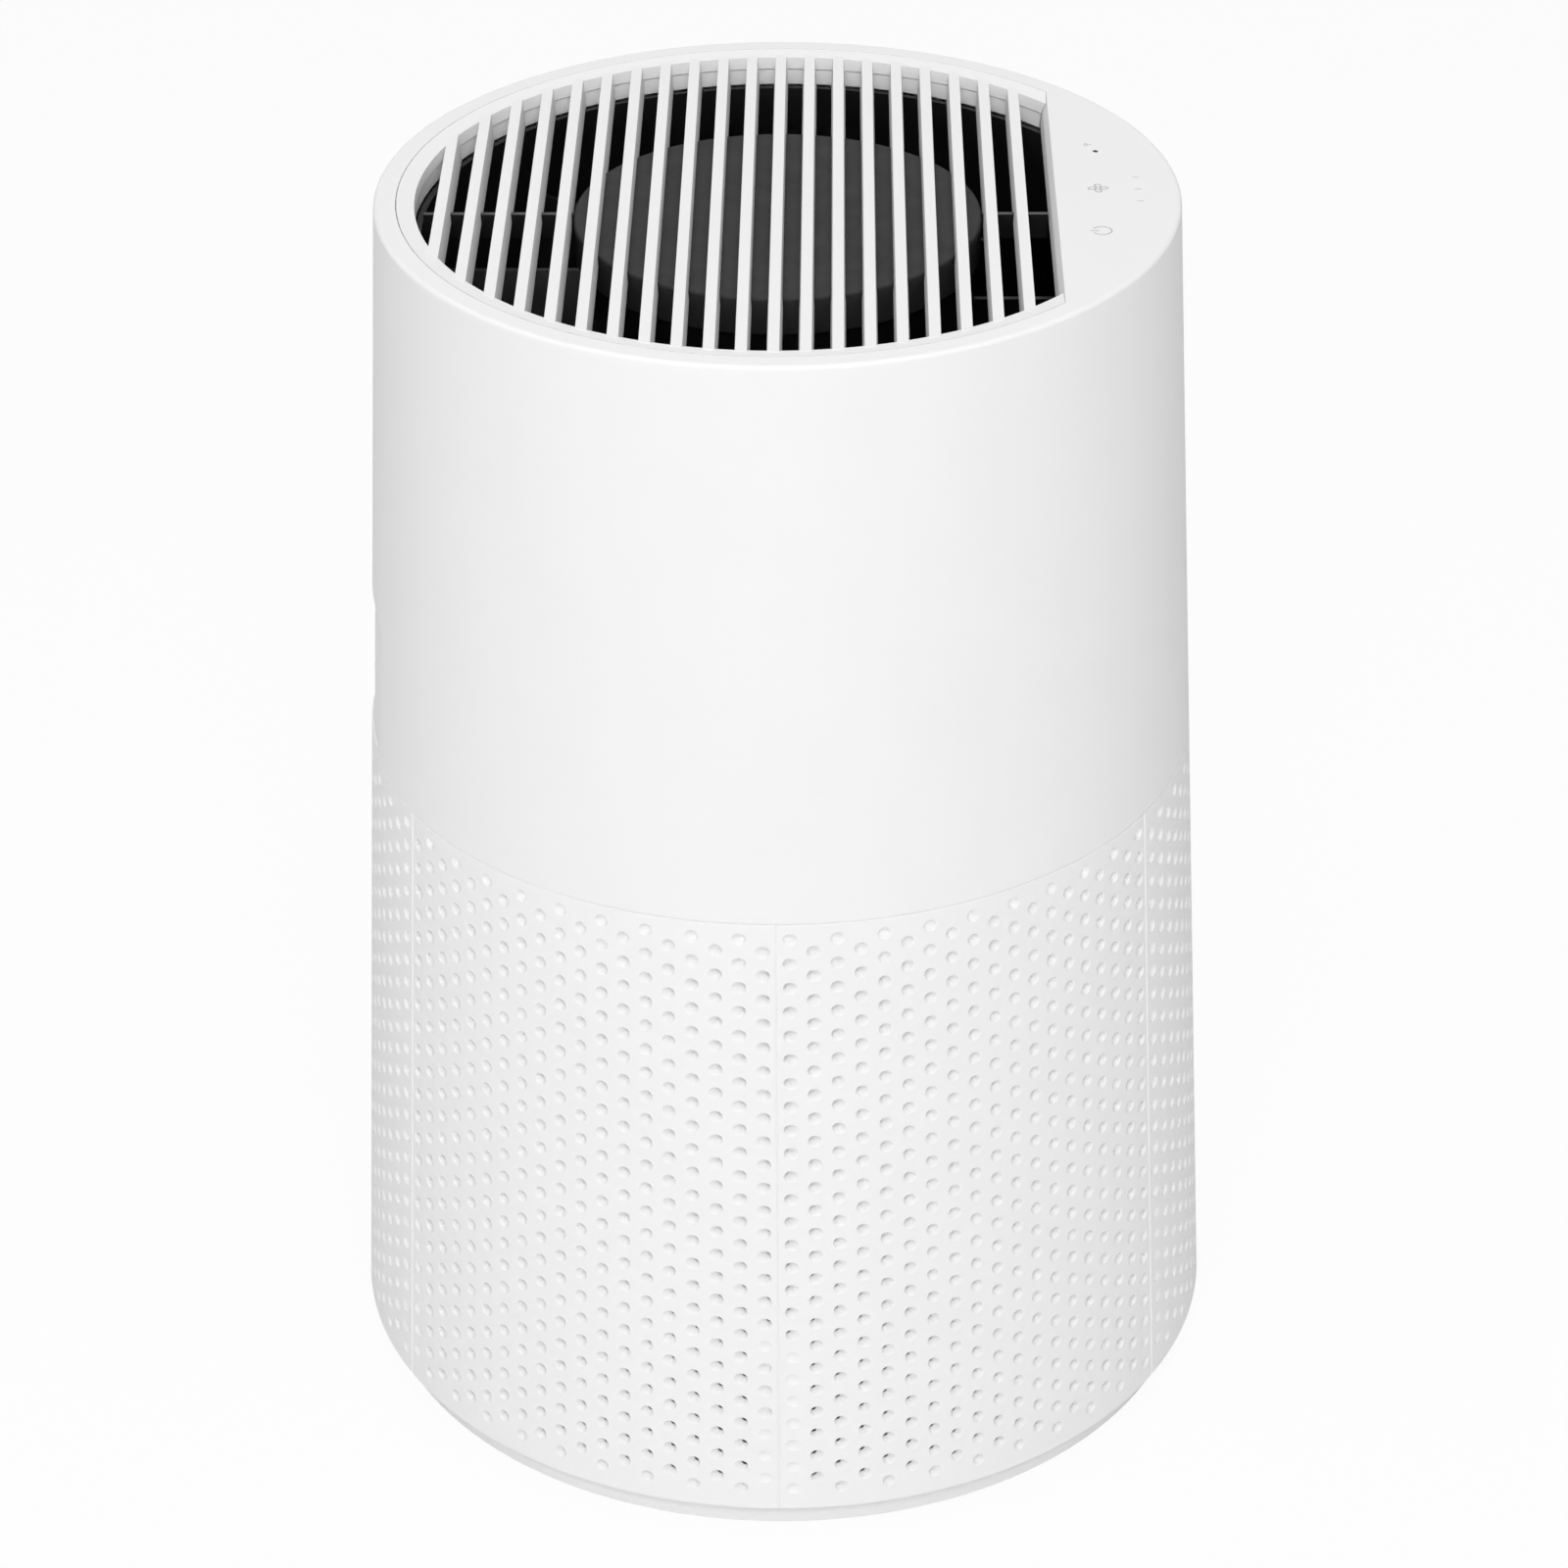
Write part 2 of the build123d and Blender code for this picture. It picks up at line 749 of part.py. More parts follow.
# Outlet grille: an open ring with straight bars
rim_z = body_height
skirt_bottom = rim_z - skirt_depth
step_radius = opening_radius + opening_step
step_z = rim_z - opening_step_drop
skirt_outer_radius = step_radius + skirt_wall
flange_bottom = rim_z - grille_flange
grille_ring = spin([
    (step_radius, skirt_bottom),
    (skirt_outer_radius, skirt_bottom),
    (skirt_outer_radius, flange_bottom),
    (grille_radius, flange_bottom),
    (grille_radius, rim_z),
    (opening_radius, rim_z - grille_slope),
    (opening_radius, step_z),
    (step_radius, step_z - opening_step),
])
bar_top = rim_z - bar_drop
bar_bottom = bar_top - bar_height
first_bar = -int(opening_radius // bar_pitch)
last_bar = int((panel_edge - bar_foot_width) // bar_pitch)
bars = Part()
for index in range(first_bar, last_bar + 1):
    centre = index * bar_pitch
    bars += prism_y([
        (centre - bar_top_width / 2, bar_top),
        (centre + bar_top_width / 2, bar_top),
        (centre + bar_foot_width / 2, bar_bottom),
        (centre - bar_foot_width / 2, bar_bottom),
    ], grille_radius)
bars &= disc(step_radius + skirt_wall / 2, bar_bottom - wall, bar_top + wall)
cap_room = disc(hub_cap_radius + 2 * clearance, skirt_bottom - wall, hub_cap_top + clearance)
arm_room = block(
    (-rear_arm_end - clearance, front_arm_end),
    (arm_y[0] - clearance, arm_y[1] + clearance),
    (skirt_bottom - wall, hub_cap_top + clearance),
)
panel_wall_foot = duct_top + 2 * slip + tray_thickness


def panel_face(play):
    """Outline of the control panel's inner face with some play, from its upper edge to its foot."""
    return [
        (panel_edge - play, rim_z),
        (panel_edge - panel_slope_width - play, rim_z - panel_slope_height),
        (panel_foot_x - play, panel_wall_foot),
    ]


panel_side = prism_y([
    (far, rim_z + wall),
    (panel_edge - slip, rim_z + wall),
    *panel_face(slip),
    (panel_foot_x - slip, skirt_bottom - wall),
    (far, skirt_bottom - wall),
], far)
parts["outlet_grille"] = grille_ring + bars - cap_room - arm_room - panel_side

# Upper shell with the rim, the grille ledge and the control panel deck
shell_bottom = seam_height + clearance
lip_inner_radius = wall_radius(shell_bottom) - wall - lip_width
ledge_radius = skirt_outer_radius + slip
ledge_upper = flange_bottom - slip
ledge_lower = ledge_upper - grille_ledge_height
upper_shell = spin([
    (wall_radius(shell_bottom), shell_bottom),
    (wall_radius(rim_z), rim_z),
    (rim_inner_radius, rim_z),
    (rim_inner_radius, ledge_upper),
    (ledge_radius, ledge_upper),
    (ledge_radius, ledge_lower),
    (wall_radius(ledge_lower) - wall, ledge_lower),
    (wall_radius(shell_bottom + lip_height) - wall, shell_bottom + lip_height),
    (lip_inner_radius, shell_bottom + lip_height),
    (lip_inner_radius, shell_bottom),
])
rim_round = min(rim_fillet, rim_width - slip)
upper_shell = fillet(ring_edges(upper_shell, wall_radius(rim_z), rim_z), rim_round)
for index in range(shell_foot_count):
    upper_shell += spin([
        (lip_inner_radius, deck_flange_top),
        (lip_inner_radius + shell_foot_thickness, deck_flange_top),
        (lip_inner_radius + shell_foot_thickness, shell_bottom + lip_height),
        (lip_inner_radius, shell_bottom + lip_height),
    ], shell_foot_angle, index * 360 / shell_foot_count - shell_foot_angle / 2)
tray_radius = rim_inner_radius + tray_lap
upper_shell -= disc(tray_radius + slip, ledge_lower - wall, rim_z - panel_thickness) & block(
    (panel_edge, far), (-far, far), (ledge_lower - wall, rim_z)
)
tray_bottom_z = duct_top + slip
tray_top_z = tray_bottom_z + tray_thickness
panel_plate = block((panel_edge, far), (-far, far), (rim_z - panel_thickness, rim_z))
panel_wall = prism_y([
    *panel_face(0),
    (panel_edge + panel_edge_wall, panel_wall_foot),
    (panel_edge + panel_edge_wall, rim_z),
], far)
panel_disc = disc(rim_inner_radius + wall / 2, tray_top_z, rim_z)
upper_shell += (panel_plate + panel_wall) & panel_disc
light_sensor_x = panel_edge + light_sensor_point[0]
light_sensor_hole = Cylinder(light_sensor_radius, 3 * panel_thickness)
upper_shell -= Pos(light_sensor_x, light_sensor_point[1], rim_z) * light_sensor_hole


def window_block(play, x):
    """Upright plate with rounded corners, the outline of the sensor window."""
    width = sensor_window_width - 2 * play
    height = sensor_window_height - 2 * play
    middle = (sensor_window_top + sensor_window_bottom) / 2
    outline = RectangleRounded(width, height, sensor_window_corner - play)
    return extrude(Plane.YZ.offset(x[0]) * Pos(0, middle) * outline, amount=x[1] - x[0], dir=(1, 0, 0))


window_depth = (-wall_floor_radius, tray_mouth_x - clearance)
upper_shell -= window_block(0, window_depth)
gland_turn = Rot(0, 0, gland_angle)
gland_height = seam_height + gland_rise
gland_face = wall_radius(gland_height)
gland_radius = gland_bore_radius + gland_wall
gland_flange_radius = gland_radius + gland_flange_width
gland_hole = round_bar((gland_face - 4 * wall, 0, gland_height), 0, gland_radius + slip, 8 * wall)
parts["upper_shell"] = upper_shell - gland_turn * gland_hole

# Cord gland: a rubber bush with a flange outside the wall
gland_root = (gland_face - gland_inside, 0, gland_height)
gland_body = round_bar(gland_root, 0, gland_radius, gland_inside + gland_flange)
gland_collar = round_bar((gland_face + slip, 0, gland_height), 0, gland_flange_radius, gland_flange)
gland_bore = round_bar((gland_face - far / 4, 0, gland_height), 0, gland_bore_radius, far / 2)
slant_room = spin([
    (0, 0),
    (wall_floor_radius + slip, 0),
    (wall_top_radius + slip, body_height),
    (0, body_height),
])
gland_trim = gland_collar - slant_room
parts["cord_gland"] = gland_turn * (gland_body + gland_trim - gland_bore)

# Control panel electronics
tray_edge = panel_foot_x + 2 * slip
panel_tray = block((tray_edge, far), (-far, far), (tray_bottom_z, tray_top_z))
panel_tray &= disc(tray_radius, tray_bottom_z, tray_top_z)
touch_board_top = rim_z - panel_thickness - touch_board_gap
touch_board_bottom = touch_board_top - board_thickness
standoff = disc(standoff_radius, tray_bottom_z, touch_board_bottom)
for reach, y in standoff_points:
    panel_tray += Pos(panel_edge + reach, y, 0) * standoff
board_face = main_board_x + board_thickness
ribbon_x = (board_face + slip, board_face + slip + ribbon_thickness)
ribbon_y = (-ribbon_width / 2, ribbon_width / 2)
panel_tray -= block(
    (ribbon_x[0] - clearance, ribbon_x[1] + clearance),
    (ribbon_y[0] - clearance, ribbon_y[1] + clearance),
    (tray_bottom_z - wall, tray_top_z + wall),
)
parts["panel_tray"] = panel_tray
touch_board_x = (panel_edge + touch_board_inset, ribbon_x[1] + touch_board_margin)
touch_board = block(touch_board_x, touch_board_y, (touch_board_bottom, touch_board_top))
parts["touch_board"] = touch_board & disc(tray_radius, touch_board_bottom, touch_board_top)
light_pipe = disc(light_pipe_radius, touch_board_top, touch_board_top + touch_board_gap)
light_pipes = Part()
for reach, y in icon_points + level_mark_points:
    light_pipes += Pos(panel_edge + reach, y, 0) * light_pipe
parts["light_pipes"] = light_pipes
wifi_x = panel_edge + wifi_point[0]
wifi_y = wifi_point[1]
parts["wifi_module"] = block(
    (wifi_x - wifi_size[0] / 2, wifi_x + wifi_size[0] / 2),
    (wifi_y - wifi_size[1] / 2, wifi_y + wifi_size[1] / 2),
    (touch_board_bottom - wifi_size[2], touch_board_bottom),
)

# Power board, its components and the ribbon to the touch board
main_board_z = (main_board_bottom, main_board_top)
main_board = block((main_board_x, board_face), (-board_half_width, board_half_width), main_board_z)
board_screws = Part()
for y, z in board_post_points:
    tip = (board_face - board_screw_length, y, z)
    hole = round_bar(tip, 0, screw_radius + slip, board_screw_length + wall)
    main_board -= hole
    parts["fan_duct"] -= hole
    board_screws += round_bar((board_face, y, z), 0, screw_head_radius, screw_head_height)
    board_screws += round_bar(tip, 0, screw_radius, board_screw_length)
parts["main_board"] = main_board
parts["board_screws"] = board_screws


def on_board(size, y, rise):
    """Block that stands on the power board's face."""
    depth, width, height = size
    middle = main_board_bottom + rise
    return block(
        (board_face, board_face + depth),
        (y - width / 2, y + width / 2),
        (middle - height / 2, middle + height / 2),
    )


connector_rise = main_board_height - connector_drop
connector_top = main_board_bottom + connector_rise + connector_size[2] / 2
board_components = Part()
board_components += on_board(transformer_size, *transformer_place)
board_components += on_board(relay_size, *relay_place)
board_components += on_board(connector_size, 0, connector_rise)
for y in capacitor_places:
    foot = (board_face, y, main_board_bottom + capacitor_rise)
    board_components += round_bar(foot, 0, capacitor_radius, capacitor_length)
parts["board_components"] = board_components
parts["ribbon_cable"] = block(ribbon_x, ribbon_y, (connector_top, touch_board_bottom))

# Rear sensor bay: tray, particle sensor and pull-off cover
sensor_tray = block((tray_mouth_x, tray_back_outer), (-tray_half, tray_half), (tray_bottom, tray_top))
sensor_tray -= block(
    (tray_mouth_x - wall, tray_back_x),
    (-tray_half + tray_wall, tray_half - tray_wall),
    (tray_bottom + tray_wall, tray_top - tray_wall),
)
parts["sensor_tray"] = sensor_tray
sensor_x = (tray_back_x - sensor_size[0], tray_back_x)
sensor_body = block(
    sensor_x,
    (-sensor_size[1] / 2, sensor_size[1] / 2),
    (tray_post_z - sensor_size[2] / 2, tray_post_z + sensor_size[2] / 2),
)
nozzle = round_bar((sensor_x[0], 0, tray_post_z), 180, sensor_nozzle_radius, sensor_nozzle_length)
nozzle_bore = round_bar((sensor_x[1] - tray_wall, 0, tray_post_z), 180, sensor_nozzle_bore, far)
parts["dust_sensor"] = sensor_body + nozzle - nozzle_bore

cover_low = sensor_window_bottom
cover_high = sensor_window_top
cover_skin = spin([
    (wall_radius(cover_low) - sensor_cover_sink - sensor_cover_wall, cover_low),
    (wall_radius(cover_low) - sensor_cover_sink, cover_low),
    (wall_radius(cover_high) - sensor_cover_sink, cover_high),
    (wall_radius(cover_high) - sensor_cover_sink - sensor_cover_wall, cover_high),
])
sensor_cover = cover_skin & window_block(sensor_cover_play, window_depth)
sensor_slot_top = sensor_window_top - sensor_slot_drop
for index in range(sensor_slot_count):
    slot_z = sensor_slot_top - index * sensor_slot_pitch
    slot_y = (-sensor_slot_length / 2, sensor_slot_length / 2)
    sensor_cover -= block((-far, 0), slot_y, (slot_z - sensor_slot_height, slot_z))
tongue_root_radius = wall_radius(tray_post_z) - sensor_cover_sink - sensor_cover_wall / 2
tongue_root = sqrt(tongue_root_radius**2 - tongue_outer_y**2)
for side in (-1, 1):
    tongue_y = sorted((side * tongue_outer_y, side * (tongue_outer_y - sensor_tongue_width)))
    sensor_cover += block(
        (-tongue_root, -tongue_root + sensor_tongue_length),
        tongue_y,
        (tray_post_z - sensor_tongue_height / 2, tray_post_z + sensor_tongue_height / 2),
    )
parts["sensor_cover"] = sensor_cover

# Motor: can, wound core, bearings, bracket and soft mounts
seat_radius = bearing_radius + shaft_fit
motor_can = disc(motor_radius, motor_bottom, motor_top)
motor_can -= disc(motor_radius - motor_wall, motor_bottom + bearing_width, motor_top - bearing_width)
motor_can -= disc(seat_radius, motor_bottom - wall, motor_top + wall)
parts["motor_can"] = motor_can
magnet_bottom = motor_bottom + magnet_rise
magnet_z = (magnet_bottom, magnet_bottom + magnet_height)
winding_outer = motor_radius - motor_wall - slip
parts["stator_core"] = tube(magnet_radius + air_gap, winding_outer, *magnet_z)
bearing_bore = shaft_radius + running_fit
parts["lower_bearing"] = tube(bearing_bore, bearing_radius, motor_bottom, motor_bottom + bearing_width)
parts["upper_bearing"] = tube(bearing_bore, bearing_radius, motor_top - bearing_width, motor_top)
bracket_top = motor_top + bracket_thickness
motor_bracket = tube(bracket_bore_radius, hub_inner_radius - clearance, motor_top, bracket_top)
motor_screw_circle_radius = motor_radius - motor_screw_inset
motor_screws = Part()
for index in range(motor_screw_count):
    place = polar(motor_screw_circle_radius, (index + 0.5) * 360 / motor_screw_count, bracket_top)
    motor_bracket -= screw_hole(place, motor_screw_length)
    parts["motor_can"] -= screw_hole(place, motor_screw_length)
    motor_screws += screw_down(place, motor_screw_length)
parts["motor_bracket"] = motor_bracket
parts["motor_screws"] = motor_screws
isolators = Part()
for index in range(isolator_count):
    place = polar(isolator_circle_radius, index * 360 / isolator_count, motor_top - isolator_height / 2)
    isolators += Pos(*place) * Cylinder(isolator_radius, isolator_height)
parts["motor_isolators"] = isolators

# Rotor: shaft, magnet, impeller and its nut
hub_fit = shaft_radius + shaft_fit
parts["motor_shaft"] = disc(shaft_radius, boss_bottom - shaft_stub, motor_top + wall)
parts["rotor_magnet"] = tube(hub_fit, magnet_radius, *magnet_z)
boss = tube(hub_fit, boss_radius, boss_bottom, boss_top)
impeller_radius = duct_radius - impeller_tip_room
eye_radius = inlet_radius + deck_plate + impeller_eye_play
cone_knee = boss_bottom + cone_knee_rise
cone_rim = boss_top - cone_rim_drop
back_plate = spin([
    (boss_radius - wall, boss_bottom),
    (boss_radius, boss_bottom),
    (cone_knee_radius, cone_knee),
    (impeller_radius, cone_rim),
    (impeller_radius, cone_rim + impeller_skin),
    (cone_knee_radius, cone_knee + impeller_skin),
    (boss_radius - wall, boss_bottom + cone_foot),
])
shroud_rim = eye_low + shroud_height
shroud_knee = eye_low + shroud_knee_rise
shroud_knee_radius = eye_radius + shroud_knee_out
shroud = spin([
    (eye_radius, eye_low),
    (eye_radius + impeller_skin, eye_low),
    (shroud_knee_radius, shroud_knee),
    (impeller_radius, shroud_rim),
    (impeller_radius, shroud_rim + impeller_skin),
    (shroud_knee_radius - impeller_skin, shroud_knee + impeller_skin),
    (eye_radius, eye_low + impeller_skin),
])


def back_plate_z(radius):
    """Height of the back plate's lower face outside its knee."""
    share = (radius - cone_knee_radius) / (impeller_radius - cone_knee_radius)
    return cone_knee + (cone_rim - cone_knee) * share


blade_tip_radius = impeller_radius - blade_bite / 2
blade_zone = spin([
    (blade_inner_radius, back_plate_z(blade_inner_radius) - blade_root_height),
    (eye_radius + blade_bite, eye_low + impeller_skin),
    (shroud_knee_radius - blade_bite, shroud_knee + blade_bite),
    (blade_tip_radius, shroud_rim + blade_bite),
    (blade_tip_radius, back_plate_z(blade_tip_radius) + blade_bite),
    (blade_inner_radius, back_plate_z(blade_inner_radius) + blade_bite),
])


def blade(turn):
    """Thin backward-swept blade between the eye and the rim."""
    middle_radius = (blade_inner_radius + impeller_radius) / 2
    radii = (blade_inner_radius - wall, middle_radius, impeller_radius + wall)
    turns = (turn, turn + blade_mid_sweep, turn + blade_sweep)
    front = [polar(r, a, eye_low) for r, a in zip(radii, turns)]
    back = [polar(r, a + degrees(blade_thickness / r), eye_low) for r, a in zip(radii, turns)]
    outline = make_face([
        ThreePointArc(*front),
        Line(front[2], back[2]),
        ThreePointArc(*reversed(back)),
        Line(back[0], front[0]),
    ])
    return extrude(outline, amount=boss_top - eye_low, dir=(0, 0, 1))


impeller = boss + back_plate + shroud
for index in range(blade_count):
    impeller += blade(index * 360 / blade_count) & blade_zone
parts["impeller"] = impeller
nut = Pos(0, 0, boss_bottom - nut_height) * extrude(RegularPolygon(nut_radius, 6), amount=nut_height)
parts["impeller_nut"] = nut - disc(hub_fit, boss_bottom - 2 * nut_height, boss_bottom + wall)

os.makedirs("parts", exist_ok=True)
for name, shape in parts.items():
    export_step(shape, f"parts/{name}.step")
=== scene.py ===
import json
from math import atan2, cos, pi, radians, sin, sqrt

import bmesh
import bpy
from mathutils import Matrix, Vector


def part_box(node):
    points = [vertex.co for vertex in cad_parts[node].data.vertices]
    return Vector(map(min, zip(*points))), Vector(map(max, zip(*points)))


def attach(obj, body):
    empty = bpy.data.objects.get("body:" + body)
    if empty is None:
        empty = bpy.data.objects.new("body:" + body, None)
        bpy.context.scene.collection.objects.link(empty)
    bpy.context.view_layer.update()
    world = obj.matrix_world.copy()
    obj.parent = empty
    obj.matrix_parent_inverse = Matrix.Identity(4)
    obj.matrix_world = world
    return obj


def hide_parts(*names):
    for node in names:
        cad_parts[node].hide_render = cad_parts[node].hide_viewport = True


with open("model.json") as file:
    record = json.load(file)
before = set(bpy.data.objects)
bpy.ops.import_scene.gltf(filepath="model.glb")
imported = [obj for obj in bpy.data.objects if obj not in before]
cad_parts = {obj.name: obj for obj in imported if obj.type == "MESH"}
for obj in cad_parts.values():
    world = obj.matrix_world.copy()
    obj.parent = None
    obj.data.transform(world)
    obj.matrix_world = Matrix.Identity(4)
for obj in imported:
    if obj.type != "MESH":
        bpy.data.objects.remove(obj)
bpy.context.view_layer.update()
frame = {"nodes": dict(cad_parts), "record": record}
nodes = frame["nodes"]
MM = 0.001

# Camera of the photograph: place and near clip in metres, turns in degrees, lens and sensor in mm
CAMERA_PLACE = (0.0199, -1.5169, 1.101)
CAMERA_PITCH = 30.35
CAMERA_YAW = -0.711
CAMERA_ROLL = 0.326
CAMERA_LENS = 113.78
SENSOR_WIDTH = 36.0
NEAR_CLIP = 0.05

# Outer wall, a cone that narrows upwards
WALL_FLOOR_RADIUS = 155.0 * MM
WALL_TOP_RADIUS = 133.8 * MM
BODY_HEIGHT = 440.0 * MM

# Perforated panels: a hole's rings are pairs of radius and depth in mm, and blind rows count from below
PANEL_COUNT = 6
PANEL_ARC = 2 * pi / PANEL_COUNT
FIRST_SEAM = -pi / 2
SEAM_GAP = 0.02 * MM
SEAM_BEVEL = 0.7 * MM
SEAM_BEVEL_DEPTH = 0.38 * MM
TOP_BEVEL = 0.75 * MM
FOOT_BEVEL = 0.1 * MM
PANEL_LIFT = 0.3 * MM
PANEL_WALL_LOW = 2.6 * MM
PANEL_WALL_HIGH = 4.2 * MM
COLUMN_COUNT = 19
COLUMN_STEP = radians(3.13)
ROW_COUNT = 25
ROW_PITCH = 9.1 * MM
TOP_ROW_DROP = 5.9 * MM
CELL_SIDE = 4
DISH_RINGS = ((2.4, 0.0), (2.2, 0.12), (2.0, 0.42))
MOUTH_LOW = 1.1 * MM
MOUTH_HIGH = 0.45 * MM
BLIND_RINGS = ((2.3, 0.0), (2.1, 0.1), (1.6, 0.42), (0.9, 0.68))
BLIND_DEPTH = 0.78 * MM
POCKET_RINGS = DISH_RINGS + ((1.3, 1.6), (0.7, 1.95))
POCKET_DEPTH = 2.1 * MM
PANEL_CREASE = radians(20)
BLIND_AFTER_SEAM = (0, 1, 2, 3, 4, 5, 6)
BLIND_BEFORE_SEAM = (0, 1, 2, 6)

# Print on the control panel: places of the icons, and sizes along their own right and up directions
INK_HEIGHT = 0.008 * MM
POWER_PLACE = (106.2 * MM, -31.0 * MM)
POWER_RADIUS = 3.15 * MM
POWER_GAP = radians(64)
POWER_LINE = (0.8 * MM, 3.9 * MM)
FAN_PLACE = (106.4 * MM, 3.4 * MM)
FAN_PETALS = 4
PETAL_CENTRE = 2.0 * MM
PETAL_HALF = (1.35 * MM, 0.9 * MM)
PETAL_SWIRL = radians(28)
SIGNAL_PLACE = (105.4 * MM, 40.1 * MM)
SIGNAL_ARCS = (1.0 * MM, 1.9 * MM)
SIGNAL_SWEEP = radians(96)
SIGNAL_DOT = 0.3 * MM
LEVEL_PLACES = ((119.3 * MM, 12.5 * MM), (119.6 * MM, 2.7 * MM), (120.0 * MM, -7.0 * MM))
LEVEL_LENGTH = 2.2 * MM
ICON_STROKE = 0.58 * MM
FINE_STROKE = 0.45 * MM
WINDOW_PLACE = (106.8 * MM, 34.5 * MM)
WINDOW_RADIUS = 0.85 * MM
CURVE_STEPS = 48
CURVE_OVERLAP = 0.1

# Gloss of the white plastic, drum that carries the woven mesh, and the middle part of a pattern's values that
# its tones spread over
WHITE_GLOSS = 0.06
WEAVE_RADIUS = 120 * MM
PATTERN_LOW = 0.3
PATTERN_HIGH = 0.7

# Floor and light, in metres and watts: each soft box has a place, a width and height, and a power
FLOOR_SIZE = 12.0
FLOOR_GREY = 0.85
FLOOR_ROUGHNESS = 0.9
FLOOR_WHITE_SHARE = 0.93
FILL_STRENGTH = 0.32
LIGHT_TARGET = (0, 0, 0.22)
SOFT_BOXES = {
    "front_box": ((0, -3.0, 2.1), (1.6, 1.6), 38),
    "high_box": ((0, -2.1, 2.95), (1.6, 1.6), 28),
    "top_box": ((0, 0.2, 2.8), (2.0, 2.0), 19),
    "left_box": ((-2.8, -1.2, 1.4), (1.4, 2.0), 11),
    "right_box": ((2.8, -1.2, 1.4), (1.4, 2.0), 7),
}


def wall_radius(z):
    return WALL_FLOOR_RADIUS - (WALL_FLOOR_RADIUS - WALL_TOP_RADIUS) * z / BODY_HEIGHT


def polar(radius, angle, z):
    return Vector((radius * cos(angle), radius * sin(angle), z))


def new_object(name, points, faces, material, crease=None):
    """Object from points and faces, smooth up to an angle between its faces, or flat without one."""
    mesh = bpy.data.meshes.new(name)
    mesh.from_pydata([tuple(p) for p in points], [], faces)
    shape = bmesh.new()
    shape.from_mesh(mesh)
    bmesh.ops.recalc_face_normals(shape, faces=shape.faces)
    shape.to_mesh(mesh)
    shape.free()
    if crease:
        mesh.shade_smooth()
        mesh.set_sharp_from_angle(angle=crease)
    mesh.materials.append(material)
    piece = bpy.data.objects.new(name, mesh)
    bpy.context.scene.collection.objects.link(piece)
    return piece


# Materials: nodes that several of them share

def new_material(name, metallic=0.0, gloss=0.5):
    material = bpy.data.materials.new(name)
    material.use_nodes = True
    tree = material.node_tree
    shader = tree.nodes["Principled BSDF"]
    shader.inputs["Metallic"].default_value = metallic
    shader.inputs["Specular IOR Level"].default_value = gloss
    return material, tree, shader


def object_place(tree, stretch=(1, 1, 1)):
    place = tree.nodes.new("ShaderNodeTexCoord")
    mapping = tree.nodes.new("ShaderNodeMapping")
    mapping.inputs["Scale"].default_value = stretch
    tree.links.new(place.outputs["Object"], mapping.inputs["Vector"])
    return mapping.outputs["Vector"]


def noise(tree, size, detail=3.0, stretch=(1, 1, 1)):
    """Noise whose features have about a given size in metres."""
    texture = tree.nodes.new("ShaderNodeTexNoise")
    texture.inputs["Scale"].default_value = 1 / size
    texture.inputs["Detail"].default_value = detail
    tree.links.new(object_place(tree, stretch), texture.inputs["Vector"])
    return texture.outputs["Fac"]


def grains(tree, size, metric="EUCLIDEAN"):
    """Distance from the middle of the nearest grain, for grains of about a given size in metres."""
    texture = tree.nodes.new("ShaderNodeTexVoronoi")
    texture.distance = metric
    texture.inputs["Scale"].default_value = 1 / size
    tree.links.new(object_place(tree), texture.inputs["Vector"])
    return texture.outputs["Distance"]


def combine(tree, operation, first, second=0.0):
    """Math node whose inputs are sockets or numbers."""
    node = tree.nodes.new("ShaderNodeMath")
    node.operation = operation
    for socket, value in zip(node.inputs, (first, second)):
        if isinstance(value, (int, float)):
            socket.default_value = value
        else:
            tree.links.new(value, socket)
    return node.outputs["Value"]


def axis_values(tree):
    split = tree.nodes.new("ShaderNodeSeparateXYZ")
    tree.links.new(object_place(tree), split.inputs["Vector"])
    return split.outputs["X"], split.outputs["Y"], split.outputs["Z"]


def ripple(tree, value, pitch):
    """Wave between 0 and 1 along a length."""
    wave = combine(tree, "SINE", combine(tree, "MULTIPLY", value, 2 * pi / pitch))
    return combine(tree, "MULTIPLY", combine(tree, "ADD", wave, 1.0), 0.5)


def tone(tree, factor, dark, light):
    ramp = tree.nodes.new("ShaderNodeValToRGB")
    ends = ((PATTERN_LOW, dark), (PATTERN_HIGH, light))
    for element, (position, colour) in zip(ramp.color_ramp.elements, ends):
        element.position = position
        element.color = (*colour, 1)
    tree.links.new(factor, ramp.inputs["Fac"])
    return ramp.outputs["Color"]


def span(tree, factor, low, high):
    spread = tree.nodes.new("ShaderNodeMapRange")
    spread.inputs["From Min"].default_value = PATTERN_LOW
    spread.inputs["From Max"].default_value = PATTERN_HIGH
    spread.inputs["To Min"].default_value = low
    spread.inputs["To Max"].default_value = high
    tree.links.new(factor, spread.inputs["Value"])
    return spread.outputs["Result"]


def relief(tree, shader, height, depth):
    bump = tree.nodes.new("ShaderNodeBump")
    bump.inputs["Distance"].default_value = depth
    tree.links.new(height, bump.inputs["Height"])
    tree.links.new(bump.outputs["Normal"], shader.inputs["Normal"])


def surface(tree, shader, pattern, colours, roughness, depth):
    """Colour, roughness and relief that follow one pattern."""
    tree.links.new(tone(tree, pattern, *colours), shader.inputs["Base Color"])
    tree.links.new(span(tree, pattern, *roughness), shader.inputs["Roughness"])
    relief(tree, shader, pattern, depth)


def grey(value):
    return (value, value, value)


# Materials: one function for each kind of finish

